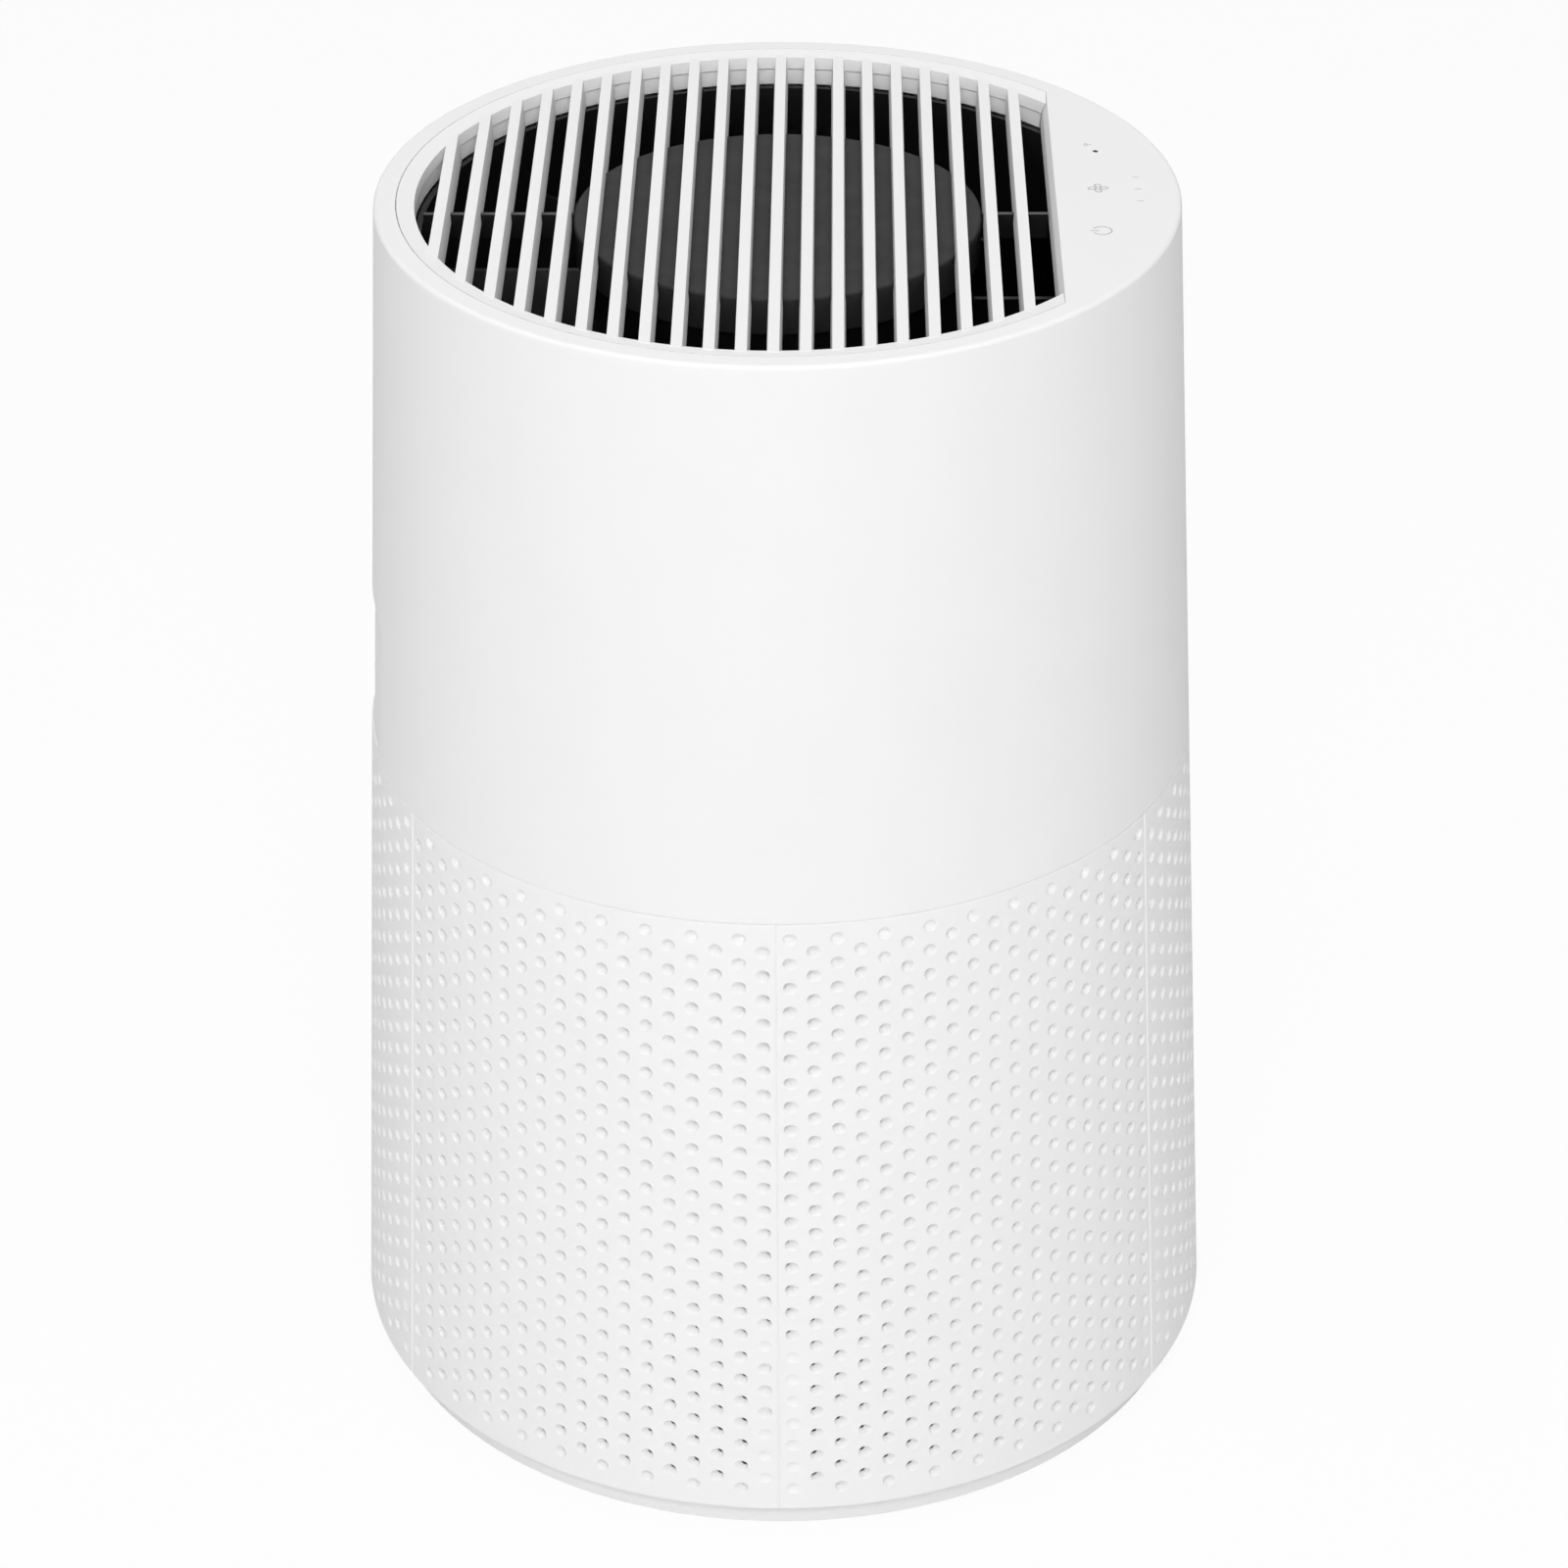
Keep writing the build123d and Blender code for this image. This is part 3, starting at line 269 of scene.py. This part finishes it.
def moulded(name, dark, light, roughness, grain=0.35 * MM, depth=0.006 * MM, patch=30 * MM, gloss=0.5):
    """Moulded plastic or rubber: close tones in soft patches, and a fine spark-eroded grain."""
    material, tree, shader = new_material(name, gloss=gloss)
    tree.links.new(tone(tree, noise(tree, patch), dark, light), shader.inputs["Base Color"])
    tree.links.new(span(tree, noise(tree, patch / 3), *roughness), shader.inputs["Roughness"])
    relief(tree, shader, noise(tree, grain), depth)
    return material


def woven(name, dark, light, pitch):
    """Plain weave on a drum about the Z axis."""
    material, tree, shader = new_material(name)
    x, y, z = axis_values(tree)
    round_length = combine(tree, "MULTIPLY", combine(tree, "ARCTAN2", y, x), WEAVE_RADIUS)
    weft = combine(tree, "SUBTRACT", ripple(tree, round_length, pitch), 0.5)
    warp = combine(tree, "SUBTRACT", ripple(tree, z, pitch), 0.5)
    crossing = combine(tree, "MULTIPLY", combine(tree, "MULTIPLY", weft, warp), 2.0)
    weave = combine(tree, "ADD", crossing, 0.5)
    surface(tree, shader, weave, (dark, light), roughness=(0.95, 0.8), depth=0.3 * MM)
    return material


def fibrous(name, dark, light, size, stretch):
    """Paper or felt with fibres along one direction."""
    material, tree, shader = new_material(name)
    fibres = noise(tree, size, detail=6.0, stretch=stretch)
    surface(tree, shader, fibres, (dark, light), roughness=(0.95, 0.85), depth=0.08 * MM)
    return material


def granular(name, dark, light, size, depth):
    material, tree, shader = new_material(name)
    surface(tree, shader, grains(tree, size), (light, dark), roughness=(0.5, 0.95), depth=-depth)
    return material


def metal(name, dark, light, roughness, size, stretch=(1, 1, 1)):
    """Bare or plated metal with fine marks from its making."""
    material, tree, shader = new_material(name, metallic=1.0)
    marks = noise(tree, size, detail=4.0, stretch=stretch)
    surface(tree, shader, marks, (dark, light), roughness, depth=0.004 * MM)
    return material


def winding(name, dark, light, pitch):
    """Enamelled wire in turns above one another."""
    material, tree, shader = new_material(name, metallic=1.0)
    turns = ripple(tree, axis_values(tree)[2], pitch)
    surface(tree, shader, turns, (dark, light), roughness=(0.4, 0.25), depth=0.2 * MM)
    return material


def circuit_board(name, dark, light, size):
    """Solder mask over square islands and tracks of copper."""
    material, tree, shader = new_material(name)
    islands = grains(tree, size, "CHEBYCHEV")
    surface(tree, shader, islands, (light, dark), roughness=(0.3, 0.4), depth=-0.03 * MM)
    return material


def flat_cable(name, dark, light, pitch):
    """Conductors side by side across Y in one flat jacket."""
    material, tree, shader = new_material(name)
    cores = ripple(tree, axis_values(tree)[1], pitch)
    surface(tree, shader, cores, (dark, light), roughness=(0.5, 0.4), depth=0.15 * MM)
    return material


def light_guide(name, dark, light):
    material, tree, shader = new_material(name)
    shader.inputs["Transmission Weight"].default_value = 1.0
    haze = noise(tree, size=2 * MM)
    surface(tree, shader, haze, (dark, light), roughness=(0.1, 0.3), depth=0.01 * MM)
    return material


white_intake = moulded("white_intake", grey(0.862), grey(0.872), (0.58, 0.65), gloss=WHITE_GLOSS)
grey_cap = moulded(
    "grey_cap", grey(0.032), grey(0.036), (0.5, 0.6), grain=0.5 * MM, depth=0.012 * MM, gloss=0.1
)
printed = moulded(
    "printed", grey(0.46), grey(0.5), (0.5, 0.6), grain=0.4 * MM, depth=0.004 * MM, patch=2 * MM
)
SLOT_MATERIALS = {
    "white_shell": moulded("white_shell", grey(0.862), grey(0.872), (0.55, 0.62), gloss=WHITE_GLOSS),
    "white_intake": white_intake,
    # Same white plastic as the shell, with painted light: a little lighter, against the shade under the
    # wall's overhang
    "white_base": moulded("white_base", grey(0.88), grey(0.89), (0.55, 0.62), gloss=WHITE_GLOSS),
    "grey_cap": grey_cap,
    "black_plastic": moulded(
        "black_plastic", grey(0.008), grey(0.011), (0.3, 0.4), grain=0.5 * MM, depth=0.01 * MM
    ),
    "rubber": moulded(
        "rubber", grey(0.03), grey(0.04), (0.75, 0.85), grain=0.6 * MM, depth=0.03 * MM, patch=8 * MM
    ),
    "filter_frame": moulded("filter_frame", (0.62, 0.65, 0.68), (0.66, 0.69, 0.72), (0.4, 0.5)),
    "filter_mesh": woven("filter_mesh", (0.42, 0.44, 0.46), (0.74, 0.75, 0.76), 2.4 * MM),
    "filter_paper": fibrous("filter_paper", grey(0.74), grey(0.82), 0.8 * MM, (1, 1, 0.2)),
    "carbon": granular("carbon", grey(0.008), grey(0.05), 2.2 * MM, 0.6 * MM),
    "foam": granular("foam", grey(0.07), grey(0.13), 0.9 * MM, 0.25 * MM),
    "steel": metal("steel", grey(0.48), grey(0.6), (0.3, 0.42), 0.6 * MM, (1, 1, 0.1)),
    "motor_steel": metal("motor_steel", grey(0.36), grey(0.5), (0.32, 0.45), 5 * MM),
    "copper": winding("copper", (0.36, 0.14, 0.05), (0.72, 0.36, 0.18), 0.9 * MM),
    "magnet": granular("magnet", grey(0.05), grey(0.09), 0.7 * MM, 0.04 * MM),
    "board": circuit_board("board", (0.012, 0.09, 0.035), (0.03, 0.17, 0.07), 5 * MM),
    "components": moulded(
        "components", grey(0.02), grey(0.03), (0.35, 0.5), grain=0.3 * MM, depth=0.01 * MM, patch=6 * MM
    ),
    "clear": light_guide("clear", (0.88, 0.91, 0.93), (0.93, 0.95, 0.96)),
    "ribbon": flat_cable("ribbon", grey(0.42), grey(0.6), 1.27 * MM),
    "shield": metal("shield", grey(0.62), grey(0.72), (0.25, 0.35), 3 * MM),
}
for part in frame["record"]["subparts"]:
    nodes[part["node"]].material_slots[0].material = SLOT_MATERIALS[part["material_slot"]]


# Perforated panels with dished holes

panel_low, panel_high = (corner.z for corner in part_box("intake_panel_1"))
panel_high += PANEL_LIFT
field_low = panel_low + FOOT_BEVEL
field_high = panel_high - TOP_BEVEL
top_row = panel_high - TOP_ROW_DROP
lattice_high = top_row + ROW_PITCH / 2
lattice_low = lattice_high - ROW_PITCH * ROW_COUNT
first_column = -(COLUMN_COUNT - 1) * COLUMN_STEP / 2
column_angles = [first_column + COLUMN_STEP * j for j in range(COLUMN_COUNT)]
panel_half = (PANEL_ARC - SEAM_GAP / WALL_FLOOR_RADIUS) / 2
field_half = panel_half - SEAM_BEVEL / WALL_FLOOR_RADIUS
strip_angles = [-field_half] + [a + COLUMN_STEP / 2 for a in column_angles[:-1]] + [field_half]


def up_the_panel(low, high, z):
    """Value that changes evenly from the panel's foot to its top."""
    return low + (high - low) * (z - panel_low) / (panel_high - panel_low)


def panel_wall(z):
    return up_the_panel(PANEL_WALL_LOW, PANEL_WALL_HIGH, z)


def steps(first, last, count):
    """Evenly spaced values from the first up to, but without, the last."""
    return [first + (last - first) * k / count for k in range(count)]


class PanelMesh:
    """Points and faces of one panel, drawn about the +X direction and turned to its place."""

    def __init__(self, turn):
        self.turn = turn
        self.points = []
        self.faces = []
        self.index = {}

    def point(self, position):
        key = tuple(round(c / MM, 4) for c in position)
        if key not in self.index:
            self.index[key] = len(self.points)
            x, y, z = position
            c, s = cos(self.turn), sin(self.turn)
            self.points.append((c * x - s * y, s * x + c * y, z))
        return self.index[key]

    def at(self, angle, z, inset):
        """Point at a depth below the wall's surface."""
        return self.point(polar(wall_radius(z) - inset, angle, z))

    def face(self, *corners):
        ring = list(dict.fromkeys(corners))
        if len(ring) > 2:
            self.faces.append(ring)

    def strip(self, first, second):
        """Faces between two rows of points."""
        for k in range(len(first) - 1):
            self.face(first[k], first[k + 1], second[k + 1], second[k])

    def band(self, first, second):
        """Faces between two closed rings of points."""
        self.strip(first + first[:1], second + second[:1])


def behind(y, z, inset):
    """Point at a depth below the wall's surface, straight behind (y, z) along X."""
    radius = wall_radius(z) - inset
    return Vector((sqrt(radius * radius - y * y), y, z))


def cell_outline(a0, a1, z0, z1):
    """Angles and heights round a cell, counter-clockwise from its lower left corner."""
    low = [(a, z0) for a in steps(a0, a1, CELL_SIDE)]
    right = [(a1, z) for z in steps(z0, z1, CELL_SIDE)]
    high = [(a, z1) for a in steps(a1, a0, CELL_SIDE)]
    left = [(a0, z) for z in steps(z1, z0, CELL_SIDE)]
    return low + right + high + left


def add_cell(panel, a0, a1, column, z, profile, floor=None):
    """One hole with the piece of wall round it, closed where it has a floor."""
    outline = cell_outline(a0, a1, z - ROW_PITCH / 2, z + ROW_PITCH / 2)
    outer = [panel.at(a, h, 0) for a, h in outline]
    inner = [panel.at(a, h, panel_wall(h)) for a, h in outline]
    centre_y = wall_radius(z) * sin(column)
    turns = []
    for a, h in outline:
        turns.append(atan2(h - z, wall_radius(z) * (sin(a) - sin(column)) / cos(column)))
    rings = [outer]
    for radius, depth in profile:
        ring = []
        for turn in turns:
            place = behind(centre_y + radius * MM * cos(turn), z + radius * MM * sin(turn), 0)
            place.x -= depth * MM
            ring.append(panel.point(place))
        rings.append(ring)
    if floor:
        bottom = panel.point(behind(centre_y, z, floor))
        last = rings[-1]
        for k in range(len(last)):
            panel.face(last[k], last[(k + 1) % len(last)], bottom)
        for k in range(1, len(inner) - 1):
            panel.face(inner[0], inner[k + 1], inner[k])
    else:
        mouth = []
        radius = up_the_panel(MOUTH_LOW, MOUTH_HIGH, z)
        for turn in turns:
            h = z + radius * sin(turn)
            mouth.append(panel.point(behind(centre_y + radius * cos(turn), h, panel_wall(h))))
        rings += [mouth, inner]
    for first, second in zip(rings, rings[1:]):
        panel.band(first, second)


def add_plain(panel, a0, a1, z0, z1, count):
    """Plain stretch of wall above or below a column of holes."""
    heights = steps(z0, z1, count) + [z1]
    angles = steps(a0, a1, CELL_SIDE) + [a1]
    for h0, h1 in zip(heights, heights[1:]):
        for b0, b1 in zip(angles, angles[1:]):
            corners = ((b0, h0), (b1, h0), (b1, h1), (b0, h1))
            panel.face(*[panel.at(b, h, 0) for b, h in corners])
            panel.face(*[panel.at(b, h, panel_wall(h)) for b, h in reversed(corners)])


def add_edges(panel):
    """Bevels and edges round the panel."""
    heights = (panel_low, field_low, field_high, panel_high)
    insets = (FOOT_BEVEL, 0, 0, TOP_BEVEL)
    fine = []
    for a0, a1 in zip(strip_angles, strip_angles[1:]):
        fine += steps(a0, a1, CELL_SIDE)
    fine.append(field_half)
    for end, field, inset in ((panel_low, field_low, FOOT_BEVEL), (panel_high, field_high, TOP_BEVEL)):
        edge = [panel.at(a, end, inset) for a in fine]
        panel.strip([panel.at(a, field, 0) for a in fine], edge)
        back = [panel.at(a, end, panel_wall(end)) for a in fine]
        panel.strip(edge, back)
        panel.strip(back, [panel.at(a, field, panel_wall(field)) for a in fine])
    for side in (-1, 1):
        face_angle, edge_angle = side * field_half, side * panel_half
        front = [panel.at(face_angle, z, inset) for z, inset in zip(heights, insets)]
        edge = [panel.at(edge_angle, z, inset + SEAM_BEVEL_DEPTH) for z, inset in zip(heights, insets)]
        back = [panel.at(edge_angle, z, panel_wall(z)) for z in heights]
        inside = [panel.at(face_angle, z, panel_wall(z)) for z in heights]
        for first, second in ((front, edge), (edge, back), (back, inside)):
            panel.strip(first, second)
        for k in (0, -1):
            panel.face(front[k], edge[k], back[k], inside[k])


def build_panel(index):
    panel = PanelMesh(FIRST_SEAM + (index + 0.5) * PANEL_ARC)
    half = CELL_SIDE // 2
    for j, column in enumerate(column_angles):
        a0, a1 = strip_angles[j], strip_angles[j + 1]
        shifted = (j + index) % 2
        rows = ROW_COUNT - shifted
        for row in range(rows):
            from_below = rows - 1 - row
            z = top_row - ROW_PITCH * (row + shifted / 2)
            blind = j == 0 and from_below in BLIND_AFTER_SEAM
            if blind or (j == COLUMN_COUNT - 1 and from_below in BLIND_BEFORE_SEAM):
                add_cell(panel, a0, a1, column, z, BLIND_RINGS, BLIND_DEPTH)
            elif row == 0 and not shifted:
                add_cell(panel, a0, a1, column, z, POCKET_RINGS, POCKET_DEPTH)
            else:
                add_cell(panel, a0, a1, column, z, DISH_RINGS)
        if shifted:
            add_plain(panel, a0, a1, top_row, lattice_high, half)
            add_plain(panel, a0, a1, lattice_low, lattice_low + ROW_PITCH / 2, half)
        add_plain(panel, a0, a1, lattice_high, field_high, 1)
        add_plain(panel, a0, a1, field_low, lattice_low, 1)
    add_edges(panel)
    return new_object(f"perforated_panel_{index + 1}", panel.points, panel.faces, white_intake, PANEL_CREASE)


for number in range(PANEL_COUNT):
    perforated = build_panel(number)
    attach(perforated, "housing")
    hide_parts(f"intake_panel_{number + 1}")


# Icons and level marks printed on the control panel

class Print:
    """Flat strokes of one icon, drawn to its right and up as seen from +X."""

    def __init__(self, place):
        self.place = place
        self.points = []
        self.faces = []

    def corner(self, right, up):
        x, y = self.place
        self.points.append((x - up, y + right, BODY_HEIGHT + INK_HEIGHT))
        return len(self.points) - 1

    def stroke(self, path, width):
        """Line of a width along a path of (right, up) points."""
        sides = []
        for k, (right, up) in enumerate(path):
            before, after = path[max(k - 1, 0)], path[min(k + 1, len(path) - 1)]
            along = Vector((after[0] - before[0], after[1] - before[1])).normalized() * width / 2
            left_side = self.corner(right - along.y, up + along.x)
            right_side = self.corner(right + along.y, up - along.x)
            sides.append((left_side, right_side))
        for first, second in zip(sides, sides[1:]):
            self.faces.append([first[0], first[1], second[1], second[0]])

    def finish(self, name, ink=printed):
        piece = new_object(name, self.points, self.faces, ink)
        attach(piece, "housing")


def arc(radius, start, sweep):
    angles = steps(start, start + sweep, CURVE_STEPS) + [start + sweep]
    return [(radius * cos(a), radius * sin(a)) for a in angles]


def petal(turn):
    """Leaning oval of the fan icon, closed with a short overlap."""
    path = []
    for a in steps(0, 2 * pi, CURVE_STEPS) + [2 * pi, 2 * pi + CURVE_OVERLAP]:
        along = Vector((PETAL_HALF[0] * cos(a), PETAL_HALF[1] * sin(a)))
        along.rotate(Matrix.Rotation(PETAL_SWIRL, 2))
        along.x += PETAL_CENTRE
        along.rotate(Matrix.Rotation(turn, 2))
        path.append(tuple(along))
    return path


power = Print(POWER_PLACE)
power.stroke(arc(POWER_RADIUS, pi / 2 + POWER_GAP / 2, 2 * pi - POWER_GAP), ICON_STROKE)
power.stroke([(0, up) for up in POWER_LINE], ICON_STROKE)
power.finish("icon_power")
fan = Print(FAN_PLACE)
for number in range(FAN_PETALS):
    fan.stroke(petal(2 * pi * number / FAN_PETALS), ICON_STROKE)
fan.finish("icon_fan")
signal = Print(SIGNAL_PLACE)
for radius in SIGNAL_ARCS:
    signal.stroke(arc(radius, pi / 2 - SIGNAL_SWEEP / 2, SIGNAL_SWEEP), FINE_STROKE)
signal.stroke(arc(SIGNAL_DOT / 2, 0, 2 * pi), SIGNAL_DOT)
signal.finish("icon_signal")
window = Print(WINDOW_PLACE)
window.stroke(arc(WINDOW_RADIUS / 2, 0, 2 * pi), WINDOW_RADIUS)
window.finish("light_window", grey_cap)
for number, place in enumerate(LEVEL_PLACES):
    mark = Print(place)
    mark.stroke([(0, -LEVEL_LENGTH / 2), (0, LEVEL_LENGTH / 2)], FINE_STROKE)
    mark.finish(f"level_mark_{number + 1}")


# Floor, world, lights and camera

def stage_shader(tree, output, shade, colour, share):
    """Floor or sky that is drawn in one colour by a share, and in its own shade for the rest."""
    path = tree.nodes.new("ShaderNodeLightPath")
    seen = combine(tree, "MAXIMUM", path.outputs["Is Camera Ray"], path.outputs["Is Glossy Ray"])
    seen = combine(tree, "MAXIMUM", seen, path.outputs["Is Transmission Ray"])
    mix = tree.nodes.new("ShaderNodeMixShader")
    tree.links.new(combine(tree, "MULTIPLY", seen, share), mix.inputs["Fac"])
    tree.links.new(shade, mix.inputs[1])
    tree.links.new(colour, mix.inputs[2])
    tree.links.new(mix.outputs[0], output)


def make_floor():
    half = FLOOR_SIZE / 2
    corners = [(-half, -half, 0), (half, -half, 0), (half, half, 0), (-half, half, 0)]
    material, tree, shader = new_material("floor")
    shader.inputs["Base Color"].default_value = (*grey(FLOOR_GREY), 1)
    shader.inputs["Roughness"].default_value = FLOOR_ROUGHNESS
    glow = tree.nodes.new("ShaderNodeEmission")
    glow.inputs["Strength"].default_value = 1.0
    output = tree.nodes["Material Output"].inputs["Surface"]
    stage_shader(tree, output, shader.outputs["BSDF"], glow.outputs["Emission"], FLOOR_WHITE_SHARE)
    floor = new_object("floor", corners, [(0, 1, 2, 3)], material)


def make_world(strength):
    world = bpy.data.worlds.new("studio")
    world.use_nodes = True
    bpy.context.scene.world = world
    tree = world.node_tree
    fill = tree.nodes["Background"]
    fill.inputs["Color"].default_value = (1, 1, 1, 1)
    fill.inputs["Strength"].default_value = strength
    white = tree.nodes.new("ShaderNodeBackground")
    white.inputs["Color"].default_value = (1, 1, 1, 1)
    white.inputs["Strength"].default_value = 1.0
    output = tree.nodes["World Output"].inputs["Surface"]
    stage_shader(tree, output, fill.outputs["Background"], white.outputs["Background"], 1.0)


def soft_box(name, place, size, watts):
    lamp = bpy.data.lights.new(name, "AREA")
    lamp.shape = "RECTANGLE"
    lamp.size, lamp.size_y = size
    lamp.energy = watts
    box = bpy.data.objects.new(name, lamp)
    box.location = place
    direction = Vector(LIGHT_TARGET) - Vector(place)
    box.rotation_euler = direction.to_track_quat("-Z", "Y").to_euler()
    bpy.context.scene.collection.objects.link(box)


def make_camera():
    pitch, yaw, roll = (radians(a) for a in (CAMERA_PITCH, CAMERA_YAW, CAMERA_ROLL))
    forward = Vector((sin(yaw) * cos(pitch), cos(yaw) * cos(pitch), -sin(pitch)))
    right = Vector((cos(yaw), -sin(yaw), 0))
    down = forward.cross(right)
    image_right = cos(roll) * right + sin(roll) * down
    image_up = sin(roll) * right - cos(roll) * down
    turn = Matrix((image_right, image_up, -forward)).transposed()
    lens = bpy.data.cameras.new("camera")
    lens.lens = CAMERA_LENS
    lens.sensor_width = SENSOR_WIDTH
    lens.clip_start = NEAR_CLIP
    camera = bpy.data.objects.new("camera", lens)
    camera.matrix_world = Matrix.Translation(CAMERA_PLACE) @ turn.to_4x4()
    bpy.context.scene.collection.objects.link(camera)
    bpy.context.scene.camera = camera


make_floor()
make_world(FILL_STRENGTH)
for box_name, (box_place, box_size, watts) in SOFT_BOXES.items():
    soft_box(box_name, box_place, box_size, watts)
make_camera()
bpy.context.scene.view_settings.view_transform = "Standard"
